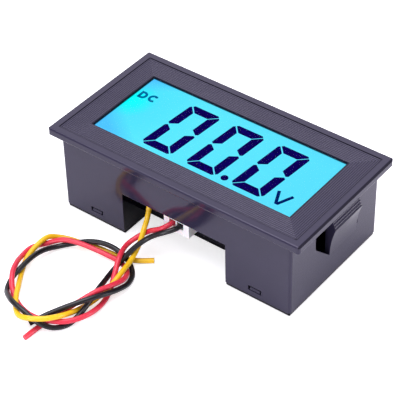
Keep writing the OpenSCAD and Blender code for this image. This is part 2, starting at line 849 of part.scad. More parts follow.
module trimmer_rotor() {
    face_z = board_z - trimmer_h + rotor_pocket - rotor_t;
    slot_l = rotor_d - 2 * rotor_slot_margin;
    color("#f1efe6")
        translate([trimmer_at.x, trimmer_at.y, face_z])
            difference() {
                union() {
                    cylinder(d = rotor_d, h = rotor_t);
                    cylinder(d = pivot_d, h = rotor_t + pivot_l);
                }
                block([slot_l, rotor_slot_w, rotor_slot_depth + e], [0, 0, -e]);
                block([rotor_slot_w, slot_l, rotor_slot_depth + e], [0, 0, -e]);
            }
}

// ---- Connector ----

module wire_socket() {
    color("#f3f1e9")
        difference() {
            block(
                [plug_w, socket_l, socket_h],
                [0, socket_y + socket_l / 2, contact_z - socket_h / 2]
            );
            translate([
                -nose_w / 2 - small_fit,
                socket_y - e,
                contact_z - nose_h / 2 - small_fit
            ])
                cube([nose_w + 2 * small_fit, nose_l + 2 * small_fit + e, nose_h + 2 * small_fit]);
            for (s = [-1, 1])
                block(
                    [pin_t + 2 * small_fit, 3 * socket_l, pin_t + 2 * small_fit],
                    [s * contact_pitch / 2, socket_y + socket_l / 2, contact_z - pin_t / 2 - small_fit]
                );
        }
}

module socket_pins() {
    pin_y0 = socket_y + pin_setback;
    color("gold")
        for (s = [-1, 1])
            translate([s * contact_pitch / 2 - pin_t / 2, 0, 0]) {
                translate([0, pin_y0, contact_z - pin_t / 2])
                    cube([pin_t, pin_tail_y + pin_t / 2 - pin_y0, pin_t]);
                translate([0, pin_tail_y - pin_t / 2, contact_z - pin_t / 2])
                    cube([pin_t, pin_t, frame_z + pin_over - contact_z + pin_t / 2]);
            }
}

module wire_plug() {
    color("#fbfaf5")
        difference() {
            union() {
                block(
                    [plug_w, plug_l - nose_l, plug_h],
                    [0, plug_y + (plug_l - nose_l) / 2, contact_z - plug_h / 2]
                );
                block(
                    [nose_w, nose_l + e, nose_h],
                    [0, socket_y + (nose_l - e) / 2, contact_z - nose_h / 2]
                );
            }
            for (s = [-1, 1])
                block(
                    [cavity_w, 3 * plug_l, cavity_w],
                    [s * contact_pitch / 2, plug_y + plug_l / 2, contact_z - cavity_w / 2]
                );
        }
}

// Box contacts in the plug: closed behind, where the lead is crimped, and open for the pin
module crimp_contacts() {
    y0 = plug_y + lead_in;
    color("silver")
        for (s = [-1, 1])
            difference() {
                block(
                    [contact_w, contact_l, contact_w],
                    [s * contact_pitch / 2, y0 + contact_l / 2, contact_z - contact_w / 2]
                );
                block(
                    [pin_t + 2 * small_fit, contact_l, pin_t + 2 * small_fit],
                    [
                        s * contact_pitch / 2,
                        y0 + contact_back_t + contact_l / 2,
                        contact_z - pin_t / 2 - small_fit
                    ]
                );
            }
}

module solder_joints() {
    ring_d = pin_t * sqrt(2) + 2 * small_fit;
    color("#b9bcc0") {
        translate([pad_at.x, pad_at.y, board_z - pad_h])
            cylinder(d = pad_d, h = pad_h);
        for (s = [-1, 1])
            translate([s * contact_pitch / 2, pin_tail_y, board_z + board_t])
                difference() {
                    cylinder(d = ring_d + 2 * joint_rim, h = joint_h);
                    translate([0, 0, -e])
                        cylinder(d = ring_d, h = joint_h + 2 * e);
                }
    }
}

// ---- Leads ----

function unit(v) = v / norm(v);

// Point at share t of the way from b to c, on the curve that passes a, b, c and d
function curve_point(a, b, c, d, t) =
    0.5 * (2 * b + (c - a) * t + (2 * a - 5 * b + 4 * c - d) * t * t
        + (3 * b - a - 3 * c + d) * t * t * t);

// Centre points of a lead: its route, with points between them on a smooth curve
function centre_line(route) =
    let (
        last = len(route) - 1,
        q = concat([2 * route[0] - route[1]], route, [2 * route[last] - route[last - 1]])
    )
    concat(
        [for (i = [1:last], k = [0:rings_per_span - 1])
            curve_point(q[i - 1], q[i], q[i + 1], q[i + 2], k / rings_per_span)],
        [route[last]]
    );

// Directions along the line; at its ends, those of the route's first and last stretch
function tangents(line, route) =
    let (last = len(line) - 1, end = len(route) - 1)
    [for (i = [0:last])
        i == 0 ? unit(route[1] - route[0])
        : i == last ? unit(route[end] - route[end - 1])
        : unit(line[i + 1] - line[i - 1])];

// Side direction of each ring, carried along the line without twist
function side_directions(ways) =
    [for (
        i = 0, n = unit(cross(ways[0], [1, 0, 0]));
        i < len(ways);
        i = i + 1,
        t = ways[min(i, len(ways) - 1)],
        n = unit(n - (n * t) * t)
    ) n];

// Route moved so that it starts at exit; the move fades out over its first points
function from_exit(route, exit) =
    [for (i = [0:len(route) - 1])
        route[i] + (exit - route[0]) * max(0, 1 - i / fade_points)];

module lead_tube(given, exit) {
    route = from_exit(given, exit);
    line = centre_line(route);
    ways = tangents(line, route);
    sides = side_directions(ways);
    count = len(line);
    points = [for (i = [0:count - 1], k = [0:lead_sides - 1])
        let (a = 360 * (k + 0.5) / lead_sides, u = sides[i], v = cross(ways[i], u))
        line[i] + lead_d / 2 * (cos(a) * u + sin(a) * v)];
    skin = [for (i = [0:count - 2], k = [0:lead_sides - 1])
        let (m = (k + 1) % lead_sides)
        [
            i * lead_sides + k, (i + 1) * lead_sides + k,
            (i + 1) * lead_sides + m, i * lead_sides + m
        ]];
    ends = [
        [for (k = [0:lead_sides - 1]) k],
        [for (k = [lead_sides - 1:-1:0]) (count - 1) * lead_sides + k]
    ];
    polyhedron(points, concat(skin, ends), convexity = 10);
}

module lead_red() {
    color("#e8324b")
        lead_tube(red_route, [-contact_pitch / 2, plug_y + lead_in, contact_z]);
}

module lead_black() {
    color("#26282d")
        lead_tube(black_route, [contact_pitch / 2, plug_y + lead_in, contact_z]);
}

module lead_yellow() {
    color("#f6c21f")
        lead_tube(yellow_route, [pad_at.x, pad_at.y, board_z - pad_h]);
}

case();
back_cover();
lcd_front_glass();
lcd_rear_glass();
lcd_seal();
digit_segments();
diffuser_film();
light_guide();
reflector_film();
backlight_frame();
backlight_led();
zebra_strips();
circuit_board();
converter_chip();
chip_pins();
electrolytic_capacitors();
voltage_regulator();
input_diode();
component_leads();
chip_resistors();
ceramic_capacitors();
trimmer_body();
trimmer_rotor();
wire_socket();
socket_pins();
wire_plug();
crimp_contacts();
solder_joints();
lead_red();
lead_black();
lead_yellow();
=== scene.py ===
from math import cos, pi, radians, sin

import bmesh
import bpy
from mathutils import Matrix, Vector


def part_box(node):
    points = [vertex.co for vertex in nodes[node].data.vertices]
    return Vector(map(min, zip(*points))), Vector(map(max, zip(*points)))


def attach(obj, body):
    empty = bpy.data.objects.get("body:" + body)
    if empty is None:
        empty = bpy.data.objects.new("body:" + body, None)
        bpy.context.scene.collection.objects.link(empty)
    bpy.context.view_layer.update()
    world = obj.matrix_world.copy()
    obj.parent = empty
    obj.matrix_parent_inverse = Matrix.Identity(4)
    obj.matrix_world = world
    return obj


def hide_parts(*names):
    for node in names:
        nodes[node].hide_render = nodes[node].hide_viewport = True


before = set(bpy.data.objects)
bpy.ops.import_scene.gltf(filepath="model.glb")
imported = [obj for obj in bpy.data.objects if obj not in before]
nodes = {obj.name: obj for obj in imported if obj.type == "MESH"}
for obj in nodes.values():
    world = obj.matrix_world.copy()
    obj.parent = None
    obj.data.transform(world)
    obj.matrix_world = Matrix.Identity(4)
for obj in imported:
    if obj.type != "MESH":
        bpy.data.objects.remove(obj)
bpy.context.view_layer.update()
scene = bpy.context.scene
mm = 0.001

# ---- Camera ----
# Looks down on the meter from its front right, from about 0.43 m away, with a long lens and a
# slight roll.

azimuth, elevation, roll = radians(38.25), radians(40.44), radians(-1.354)
camera_place = (0.1973, -0.2583, 0.2839)
look = Vector((-sin(azimuth) * cos(elevation), cos(azimuth) * cos(elevation), -sin(elevation)))
level = Vector((cos(azimuth), sin(azimuth), 0))
upright = level.cross(look)
right = cos(roll) * level + sin(roll) * upright
up = cos(roll) * upright - sin(roll) * level

camera_data = bpy.data.cameras.new("camera")
camera_data.sensor_width = 36
camera_data.lens = 146.66
camera_data.clip_start = 0.05
camera = bpy.data.objects.new("camera", camera_data)
scene.collection.objects.link(camera)
camera.matrix_world = Matrix.Translation(camera_place) @ Matrix(
    (right, up, -look)
).transposed().to_4x4()
scene.camera = camera

# ---- Leads ----
# Three limp stranded wires in soft vinyl sleeves. Red and black come out of the plug, yellow
# is soldered under the board. They lie in one loose coil and their far ends are cut off square.

lead_d = 1.4 * mm
strand_d = 0.16 * mm
strand_reach = 0.12 * mm
ring_pitch = 2.05  # in strand radii
routes = {
    "red": [
        (-1.25, -16.5, 11), (-1.25, -18, 11), (-1.62, -19.29, 10.76), (-2.39, -20.27, 10.26),
        (-3.47, -20.8, 9.53), (-4.85, -20.8, 8.56), (-6.8, -20.61, 7.07), (-9.07, -21.8, 5.24),
        (-10.37, -25.55, 4.12), (-8.78, -30.5, 4.46), (-7.01, -34.57, 2.84), (-5.47, -38.32, 1.06),
        (-4.1, -42.33, 0.79), (-3.34, -46.66, 1.45), (-3.75, -50.98, 2.11), (-5.89, -54.8, 2.38),
        (-9.4, -57.29, 2.53), (-13.31, -58.48, 2.7), (-17.44, -57.52, 1.84), (-21.37, -55.84, 1.24),
        (-24.73, -53.66, 2.22), (-27.27, -50.75, 3.57), (-29.29, -47.08, 3.31),
        (-31.25, -43.21, 1.71), (-31.8, -38.66, 1.21), (-29.7, -35.04, 1.17),
        (-26.18, -32.76, 2.59), (-22.26, -31.48, 2.83), (-18.18, -30.4, 2.24),
        (-13.87, -29.51, 1.48), (-9.37, -29.42, 1.18), (-5.69, -31.51, 1.54), (-3.69, -35.2, 2.87),
        (-3.96, -39.65, 4), (-5.29, -43.97, 4.42), (-7.06, -47.81, 3.37), (-9.11, -51.3, 1.78),
        (-10.56, -55.21, 0.84), (-11.2, -59.55, 0.79), (-11.47, -63.97, 0.79),
    ],
    "black": [
        (1.25, -16.5, 11), (1.25, -18, 11), (0.83, -19.35, 10.89), (-0.05, -20.62, 10.6),
        (-1.5, -21.68, 9.95), (-3.44, -22.42, 8.7), (-5.47, -23.54, 7.1), (-7.29, -26.28, 5.2),
        (-8.53, -29.5, 2.97), (-8.68, -33.61, 1.87), (-7.75, -37.81, 2.13), (-6.48, -41.88, 2.99),
        (-5.76, -45.99, 2.5), (-5.38, -50.19, 1.6), (-5.96, -54.22, 0.76), (-7.85, -57.72, 1.4),
        (-10.99, -59.63, 2.99), (-15.02, -59.63, 4.24), (-19.22, -58.96, 4.44), (-22.8, -57, 3.09),
        (-25.91, -54.46, 1.61), (-27.62, -50.69, 1.79), (-27.98, -46.44, 2.45),
        (-28.16, -42.23, 2.56), (-28.05, -38.12, 1.88), (-26.71, -34.37, 1.14), (-24, -31.36, 1.42),
        (-20.48, -29.2, 2.44), (-16.44, -27.94, 3.02), (-12.06, -27.66, 2.89),
        (-7.99, -28.21, 1.63), (-4.78, -30.43, 0.78), (-3.05, -34.1, 1.12), (-2.75, -38.19, 2.33),
        (-3.14, -42.19, 3.68), (-4.46, -46.03, 4.43), (-6.61, -49.6, 4.2), (-9.19, -52.87, 3.22),
        (-11.78, -56.06, 1.92), (-13.91, -59.55, 0.76),
    ],
    "yellow": [
        (-10, -16.5, 13.5), (-10, -16.5, 12), (-9.8, -16.92, 10.69), (-9.37, -17.82, 9.6),
        (-8.69, -19.31, 8.73), (-7.86, -21.63, 7.69), (-7.42, -23.65, 5.52), (-7.27, -26.1, 3.37),
        (-6.55, -29.26, 2.81), (-5.58, -33.12, 3.23), (-5.04, -37.11, 2.84), (-5.2, -40.86, 2.15),
        (-6.06, -44.47, 1.17), (-6.83, -48.23, 1.18), (-6.98, -51.91, 2.39), (-7.25, -55.55, 3.97),
        (-9.16, -59.01, 4.73), (-12.43, -61.08, 4.64), (-15.87, -60.88, 3.52), (-19, -58.64, 2.78),
        (-21.52, -55.67, 2.95), (-23.72, -52.44, 2.61), (-26.06, -49.52, 1.25),
        (-28.25, -46.33, 0.76), (-29.77, -42.73, 1.55), (-30.27, -38.74, 2.3),
        (-30.05, -34.41, 2.61), (-28.66, -31.56, 1.41), (-25.88, -29.95, 0.85),
        (-22.2, -29.13, 0.76), (-18.34, -28.32, 0.86), (-14.43, -27.9, 0.84),
        (-10.48, -27.42, 0.76), (-6.67, -25.93, 0.79), (-3.18, -23.55, 0.97),
    ],
}
sleeve_colors = {
    "red": (0.80, 0.035, 0.07, 1),
    "black": (0.006, 0.006, 0.008, 1),
    "yellow": (1.0, 0.60, 0.015, 1),
}


def new_material(name, color, roughness, **sockets):
    """A Principled material with constants on its sockets."""
    material = bpy.data.materials.new(name)
    material.use_nodes = True
    shader = material.node_tree.nodes["Principled BSDF"]
    shader.inputs["Base Color"].default_value = color
    shader.inputs["Roughness"].default_value = roughness
    for socket, value in sockets.items():
        shader.inputs[socket.replace("_", " ")].default_value = value
    return material


def add_node(material, kind, label="", **inputs):
    """A node in the material's tree, with values or links on its inputs.

    An input goes by its name, or by i and its number where names repeat.
    """
    tree = material.node_tree
    node = tree.nodes.new(kind)
    node.label = label
    for name, value in inputs.items():
        numbered = name[0] == "i" and name[1:].isdigit()
        socket = node.inputs[int(name[1:]) if numbered else name.replace("_", " ")]
        if isinstance(value, bpy.types.NodeSocket):
            tree.links.new(value, socket)
        else:
            socket.default_value = value
    return node


def place_socket(material):
    """The object's own coordinates, in metres."""
    found = [n for n in material.node_tree.nodes if n.type == "TEX_COORD"]
    return (found[0] if found else add_node(material, "ShaderNodeTexCoord")).outputs["Object"]


def principled(material, **links):
    """Links sockets of the material's Principled shader."""
    shader = material.node_tree.nodes["Principled BSDF"]
    for name, value in links.items():
        material.node_tree.links.new(value, shader.inputs[name.replace("_", " ")])
    return shader


def mottle(material, size, color_a, color_b, rough_a, rough_b, bump=0.1, depth=0.02 * mm):
    """Soft uneven colour, gloss and surface, with patches of about the given size.

    Gives back the nodes for the three, so that a material can build on them.
    """
    noise = add_node(
        material, "ShaderNodeTexNoise", "uneven surface",
        Vector=place_socket(material), Scale=1 / size, Detail=4.0, Roughness=0.55,
    )
    colors = add_node(material, "ShaderNodeMix", "colour")
    colors.data_type = "RGBA"
    colors.inputs[6].default_value = color_a
    colors.inputs[7].default_value = color_b
    material.node_tree.links.new(noise.outputs["Fac"], colors.inputs[0])
    rough = add_node(
        material, "ShaderNodeMapRange", "gloss", Value=noise.outputs["Fac"],
        i3=rough_a, i4=rough_b,
    )
    height = add_node(
        material, "ShaderNodeBump", "surface", Height=noise.outputs["Fac"],
        Strength=bump, Distance=depth,
    )
    principled(
        material, Base_Color=colors.outputs[2], Roughness=rough.outputs[0],
        Normal=height.outputs[0],
    )
    return colors, rough, height


def tint(color, factor):
    return tuple(min(c * factor, 1) for c in color[:3]) + (1,)


def stranded_core(material):
    """A Geometry Nodes tree: a bundle of round strands, one in the middle and two rings."""
    tree = bpy.data.node_groups.new("stranded core", "GeometryNodeTree")
    face = tree.interface
    face.new_socket("Geometry", in_out="INPUT", socket_type="NodeSocketGeometry")
    for name in ("Strand radius", "Length"):
        face.new_socket(name, in_out="INPUT", socket_type="NodeSocketFloat")
    face.new_socket("Geometry", in_out="OUTPUT", socket_type="NodeSocketGeometry")

    def node(kind, **values):
        made = tree.nodes.new(kind)
        for key, value in values.items():
            setattr(made, key, value)
        return made

    def link(source, target):
        tree.links.new(source, target)

    given = node("NodeGroupInput")
    join = node("GeometryNodeJoinGeometry")
    middle = node("GeometryNodeMeshLine")
    middle.inputs["Count"].default_value = 1
    link(middle.outputs[0], join.inputs[0])
    for ring in (1, 2):
        radius = node("ShaderNodeMath", operation="MULTIPLY")
        radius.inputs[1].default_value = ring_pitch * ring
        link(given.outputs["Strand radius"], radius.inputs[0])
        circle = node("GeometryNodeMeshCircle")
        circle.inputs["Vertices"].default_value = 6 * ring
        link(radius.outputs[0], circle.inputs["Radius"])
        link(circle.outputs[0], join.inputs[0])
    strand = node("GeometryNodeMeshUVSphere")
    strand.inputs["Segments"].default_value = 10
    strand.inputs["Rings"].default_value = 6
    link(given.outputs["Strand radius"], strand.inputs["Radius"])
    stretch = node("ShaderNodeMath", operation="DIVIDE")
    link(given.outputs["Length"], stretch.inputs[0])
    link(given.outputs["Strand radius"], stretch.inputs[1])
    scale = node("ShaderNodeCombineXYZ")
    scale.inputs[0].default_value = scale.inputs[1].default_value = 1
    link(stretch.outputs[0], scale.inputs[2])
    copies = node("GeometryNodeInstanceOnPoints")
    link(join.outputs[0], copies.inputs["Points"])
    link(strand.outputs["Mesh"], copies.inputs["Instance"])
    link(scale.outputs[0], copies.inputs["Scale"])
    real = node("GeometryNodeRealizeInstances")
    link(copies.outputs[0], real.inputs[0])
    paint = node("GeometryNodeSetMaterial")
    paint.inputs["Material"].default_value = material
    link(real.outputs[0], paint.inputs["Geometry"])
    link(paint.outputs[0], node("NodeGroupOutput").inputs[0])
    return tree


def grown(tree, name, values):
    """The plain mesh that a Geometry Nodes tree makes with these inputs."""
    carrier = bpy.data.objects.new(name, bpy.data.meshes.new(name))
    scene.collection.objects.link(carrier)
    modifier = carrier.modifiers.new("grow", "NODES")
    modifier.node_group = tree
    for item in tree.interface.items_tree:
        if item.item_type == "SOCKET" and item.in_out == "INPUT" and item.name in values:
            modifier[item.identifier] = values[item.name]
    graph = bpy.context.evaluated_depsgraph_get()
    mesh = bpy.data.meshes.new_from_object(carrier.evaluated_get(graph))
    bpy.data.objects.remove(carrier)
    return mesh


def new_object(name, mesh, body="meter"):
    made = bpy.data.objects.new(name, mesh)
    scene.collection.objects.link(made)
    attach(made, body)
    return made


tinned = new_material("tinned_copper_strands", (0.72, 0.62, 0.52, 1), 0.3, Metallic=1.0)
mottle(tinned, 0.2 * mm, (0.80, 0.72, 0.62, 1), (0.62, 0.5, 0.4, 1), 0.22, 0.4)
core_tree = stranded_core(tinned)

for hue, route in routes.items():
    points = [Vector(p) * mm for p in route]
    ends = [2 * points[0] - points[1], *points, 2 * points[-1] - points[-2]]
    curve = bpy.data.curves.new("lead_" + hue + "_sleeve", "CURVE")
    curve.dimensions = "3D"
    curve.resolution_u = 6
    curve.bevel_depth = lead_d / 2
    curve.bevel_resolution = 5
    curve.use_fill_caps = True
    curve.use_radius = False
    spline = curve.splines.new("BEZIER")
    spline.bezier_points.add(len(points) - 1)
    for i, (knot, point) in enumerate(zip(spline.bezier_points, points)):
        along = (ends[i + 2] - ends[i]) / 6
        knot.co = point
        knot.handle_left = point - along
        knot.handle_right = point + along
    sleeve = bpy.data.objects.new("lead_" + hue + "_sleeve", curve)
    scene.collection.objects.link(sleeve)
    vinyl = new_material("vinyl_" + hue, sleeve_colors[hue], 0.3, Specular_IOR_Level=0.5)
    mottle(
        vinyl, 1.5 * mm, sleeve_colors[hue], tint(sleeve_colors[hue], 0.86),
        0.22, 0.36, bump=0.15, depth=0.05 * mm,
    )
    curve.materials.append(vinyl)
    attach(sleeve, "meter")
    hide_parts("lead_" + hue)
    away = (points[-1] - points[-2]).normalized()
    strands = grown(
        core_tree, "strands", {"Strand radius": strand_d / 2, "Length": strand_reach}
    )
    strands.transform(
        Matrix.Translation(points[-1] - strand_reach * away)
        @ away.to_track_quat("Z", "Y").to_matrix().to_4x4()
    )
    core = new_object("lead_" + hue + "_strands", strands)

# ---- Case ----
# One injection-moulded shell of black ABS: bezel, walls, lead recess and two snap tongues.
# The front face's lower field has a close woven grain; rim, walls and tongues are glossy.


def dress(name, material):
    """Gives a CAD node's slots one material."""
    for held in nodes[name].material_slots:
        held.material = material


def rounded_edges(material, radius, bump):
    """Softens the look of sharp edges, under the material's bump node."""
    edge = add_node(material, "ShaderNodeBevel", "edge", Radius=radius)
    edge.samples = 6
    material.node_tree.links.new(edge.outputs[0], bump.inputs["Normal"])


def math(material, operation, *given):
    """One Math node; numbers or sockets."""
    node = add_node(material, "ShaderNodeMath", operation.lower())
    node.operation = operation
    for socket, value in zip(node.inputs, given):
        if isinstance(value, bpy.types.NodeSocket):
            material.node_tree.links.new(value, socket)
        else:
            socket.default_value = value
    return node.outputs[0]


def scale_colors(material, colors, reflected, factor):
    """Dims or lifts the base colour and the tint of the reflections by one factor."""
    for socket, held in (("Base_Color", colors.outputs[2]), ("Specular_Tint", reflected[:3])):
        scaled = add_node(material, "ShaderNodeVectorMath", "scaled colour", i0=held)
        scaled.operation = "SCALE"
        material.node_tree.links.new(factor, scaled.inputs["Scale"])
        principled(material, **{socket: scaled.outputs[0]})


abs_black = (0.024, 0.021, 0.044, 1)
cool = (0.90, 0.86, 1.0, 1)
edge_radius = 0.12 * mm
bezel_half_l, bezel_half_w, face_z = 39.5 * mm, 21 * mm, 25.42 * mm
rim_w, edge_w, window_inset = 2.25 * mm, 0.45 * mm, 8.15 * mm
grain_pitch, grain_depth = 0.58 * mm, 0.05 * mm
cross_share, grain_contrast, grain_rough = 0.25, 0.4, 0.18
recess_half_l, recess_h = 16.55 * mm, 14.0 * mm
recess_near_y, recess_far_y = -19.35 * mm, -8.95 * mm
edge_shade_share, shade_depth, edge_rough = 0.75, 0.85, 0.8

case_plastic = new_material("black_abs", abs_black, 0.2, Specular_Tint=cool)
case_colors, case_gloss, case_bump = mottle(
    case_plastic, 6 * mm, tint(abs_black, 0.9), tint(abs_black, 1.15), 0.06, 0.11,
    bump=0.08, depth=0.04 * mm,
)
axes = add_node(case_plastic, "ShaderNodeSeparateXYZ", "", Vector=place_socket(case_plastic))
x, y, z = axes.outputs
abs_x, abs_y = (math(case_plastic, "ABSOLUTE", axis) for axis in (x, y))
from_end = math(case_plastic, "SUBTRACT", bezel_half_l, abs_x)
from_edge = math(
    case_plastic, "MINIMUM", from_end, math(case_plastic, "SUBTRACT", bezel_half_w, abs_y)
)
on_top = math(case_plastic, "GREATER_THAN", z, face_z)
field = math(
    case_plastic, "MULTIPLY", on_top, math(case_plastic, "GREATER_THAN", from_edge, rim_w)
)
# fine lines run round the window, crossed by a weaker set
line_turn = 2 * pi / grain_pitch
lines = math(case_plastic, "SINE", math(case_plastic, "MULTIPLY", from_edge, line_turn))
slant = math(case_plastic, "ADD", abs_x, abs_y)
cross = math(case_plastic, "SINE", math(case_plastic, "MULTIPLY", slant, line_turn))
weave = math(
    case_plastic, "MULTIPLY", math(case_plastic, "MULTIPLY_ADD", cross, cross_share, lines), field
)
grain = add_node(
    case_plastic, "ShaderNodeBump", "woven grain", Height=weave, Strength=0.8,
    Distance=grain_depth, Normal=case_bump.outputs[0],
)

# painted shade: the outer edge at the far side and both ends is painted darker as the dark
# reflections of its rounding, the rim's inner line and the window's edge are painted darker as
# shade lines, and the lead recess gets the deepest painted shade. Both the colour and the tint of
# the reflections are dimmed there.
from_far_edge = math(
    case_plastic, "MINIMUM", from_end, math(case_plastic, "SUBTRACT", bezel_half_w, y)
)
inner_shade_lines = math(
    case_plastic, "MAXIMUM", math(case_plastic, "GREATER_THAN", from_edge, window_inset),
    math(case_plastic, "COMPARE", from_edge, rim_w, edge_w / 3),
)
shaded_outline = math(case_plastic, "MULTIPLY", on_top, math(
    case_plastic, "MAXIMUM", math(case_plastic, "LESS_THAN", from_far_edge, edge_w), inner_shade_lines
))
# mask of the lead recess, where shade is painted
recess_depth = math(
    case_plastic, "COMPARE", y, (recess_near_y + recess_far_y) / 2,
    (recess_far_y - recess_near_y) / 2,
)
in_recess = math(
    case_plastic, "MULTIPLY", math(case_plastic, "LESS_THAN", abs_x, recess_half_l),
    math(
        case_plastic, "MULTIPLY", recess_depth, math(case_plastic, "LESS_THAN", z, recess_h)
    ),
)
# painted shade: one mask for the shaded edge lines and the shaded lead recess
dark = math(
    case_plastic, "MAXIMUM", math(case_plastic, "MULTIPLY", shaded_outline, edge_shade_share), in_recess
)
# the woven grain's lighter and darker lines, times the painted shade
shade = math(
    case_plastic, "MULTIPLY", math(case_plastic, "MULTIPLY_ADD", weave, grain_contrast, 1.0),
    math(case_plastic, "MULTIPLY_ADD", dark, -shade_depth, 1.0),
)
scale_colors(case_plastic, case_colors, cool, shade)
field_rough = math(case_plastic, "MULTIPLY_ADD", field, grain_rough, case_gloss.outputs[0])
case_rough = math(
    case_plastic, "MAXIMUM", field_rough, math(case_plastic, "MULTIPLY", shaded_outline, edge_rough)
)
principled(case_plastic, Normal=grain.outputs[0], Roughness=case_rough)
rounded_edges(case_plastic, edge_radius, case_bump)
dress("case", case_plastic)

# ---- Back cover ----
# A second black moulding that clicks into the case; less glossy, with the board's four posts
# and the latch hooks moulded on.

shaded_edge_h, edge_shade_depth = 1.1 * mm, 0.9

cover_plastic = new_material("black_abs_cover", tint(abs_black, 0.9), 0.3, Specular_Tint=cool)
cover_colors, _, cover_bump = mottle(
    cover_plastic, 4 * mm, tint(abs_black, 0.8), tint(abs_black, 1.05), 0.24, 0.38
)
# painted shade: its lowest edge is painted nearly black in colour and reflections, where it meets
# the table
height = add_node(
    cover_plastic, "ShaderNodeSeparateXYZ", "", Vector=place_socket(cover_plastic)
).outputs[2]
low_shade = math(cover_plastic, "LESS_THAN", height, shaded_edge_h)
scale_colors(
    cover_plastic, cover_colors, cool, math(cover_plastic, "MULTIPLY_ADD", low_shade, -edge_shade_depth, 1.0)
)
rounded_edges(cover_plastic, edge_radius, cover_bump)
dress("back_cover", cover_plastic)

# ---- Display ----
# Two bonded glasses with the liquid crystal between them. The backlight's glow is painted on the
# rear glass as its own emission: light blue, brightest beside the lamp at the left end, with
# painted shade in the corners beside the lamp and along the far and left borders. The switched-on
# areas are dark blue, with a faint painted glow of their own.

glass = new_material(
    "front_glass", (1, 1, 1, 1), 0.0, IOR=1.03, Transmission_Weight=1.0, Specular_IOR_Level=0.05
)
smudge = add_node(
    glass, "ShaderNodeTexNoise", "faint smudge", Vector=place_socket(glass), Scale=60.0
)
stain = add_node(glass, "ShaderNodeValToRGB", "stain", Fac=smudge.outputs["Fac"])
stain.color_ramp.elements[0].color = (0.97, 0.98, 0.98, 1)
principled(glass, Base_Color=stain.outputs[0])
dress("lcd_front_glass", glass)

ground = new_material(
    "lit_ground", (0.005, 0.03, 0.04, 1), 0.5, Emission_Strength=1.0, Specular_IOR_Level=0.0
)
gx, gy, _ = add_node(
    ground, "ShaderNodeSeparateXYZ", "", Vector=place_socket(ground)
).outputs
lamp = Vector((-31.5 * mm, 2.8 * mm, 23.7 * mm))
glow_reach, lamp_spread = 66 * mm, 0.8
lip_y, lip_x, lip_shade = 13.2 * mm, -31.4 * mm, 0.3 * mm
from_lamp = add_node(
    ground, "ShaderNodeVectorMath", "away from the lamp", i0=place_socket(ground), i1=tuple(lamp)
)
from_lamp.operation = "DISTANCE"
glow = add_node(
    ground, "ShaderNodeValToRGB", "glow",
    Fac=math(ground, "DIVIDE", from_lamp.outputs["Value"], glow_reach),
)
ramp = glow.color_ramp
ramp.elements[0].color = (0.0, 1.0, 1.0, 1)
ramp.elements[0].position = 0.02
ramp.elements[1].color = (0.10, 0.72, 0.97, 1)
ramp.elements[1].position = 1.0
for position, color in (
    (0.06, (0.01, 0.90, 1.0, 1)), (0.12, (0.08, 0.76, 1.0, 1)), (0.35, (0.11, 0.80, 1.0, 1)),
):
    ramp.elements.new(position).color = color
# the two corners beside the lamp get less of its light
sideways = math(ground, "ABSOLUTE", math(ground, "SUBTRACT", gy, lamp.y))
ahead = math(ground, "MULTIPLY", math(ground, "SUBTRACT", gx, lamp.x), lamp_spread)
beside = add_node(
    ground, "ShaderNodeMapRange", "beside the lamp",
    Value=math(ground, "SUBTRACT", sideways, ahead), i1=3 * mm, i2=10 * mm,
)
shaded = add_node(ground, "ShaderNodeMix", "shaded corner", i0=beside.outputs[0])
shaded.data_type = "RGBA"
shaded.inputs[7].default_value = (0.075, 0.54, 1.0, 1)
ground.node_tree.links.new(glow.outputs[0], shaded.inputs[6])
# and its far and left borders lie in the shade of the case's lip
far_border = add_node(
    ground, "ShaderNodeMapRange", "far border", Value=gy, i1=lip_y, i2=lip_y + lip_shade
)
left_border = add_node(
    ground, "ShaderNodeMapRange", "left border", Value=gx, i1=lip_x, i2=lip_x - lip_shade
)
bordered = add_node(
    ground, "ShaderNodeMix", "dark border",
    i0=math(ground, "MAXIMUM", far_border.outputs[0], left_border.outputs[0]),
)
bordered.data_type = "RGBA"
bordered.inputs[7].default_value = (0.0, 0.012, 0.04, 1)
ground.node_tree.links.new(shaded.outputs[2], bordered.inputs[6])
# painted light: the lit and shaded glow goes in as the rear glass's own emission
principled(ground, Emission_Color=bordered.outputs[2])
dress("lcd_rear_glass", ground)

# painted light: the switched-on areas glow faintly navy, the backlight through them painted on as
# their own emission
crystal = new_material(
    "dark_crystal", (0.002, 0.0005, 0.03, 1), 0.5, Specular_IOR_Level=0.0,
    Emission_Color=(0.002, 0.0005, 0.05, 1), Emission_Strength=1.0,
)
mottle(crystal, 3 * mm, (0.002, 0.0005, 0.035, 1), (0.001, 0.0, 0.025, 1), 0.4, 0.6, bump=0.02)
dress("digit_segments", crystal)

resin = new_material("edge_seal_resin", (0.03, 0.04, 0.05, 1), 0.4)
mottle(resin, 0.5 * mm, (0.033, 0.044, 0.055, 1), (0.026, 0.034, 0.042, 1), 0.3, 0.5)
dress("lcd_seal", resin)

# ---- Unit marks ----
# The letters DC and V, fixed marks in the same layer as the digits. DC is dark teal, V is navy
# and drawn with a blunt foot.

mark_t = 0.1 * mm
mark_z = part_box("digit_segments")[0][2]


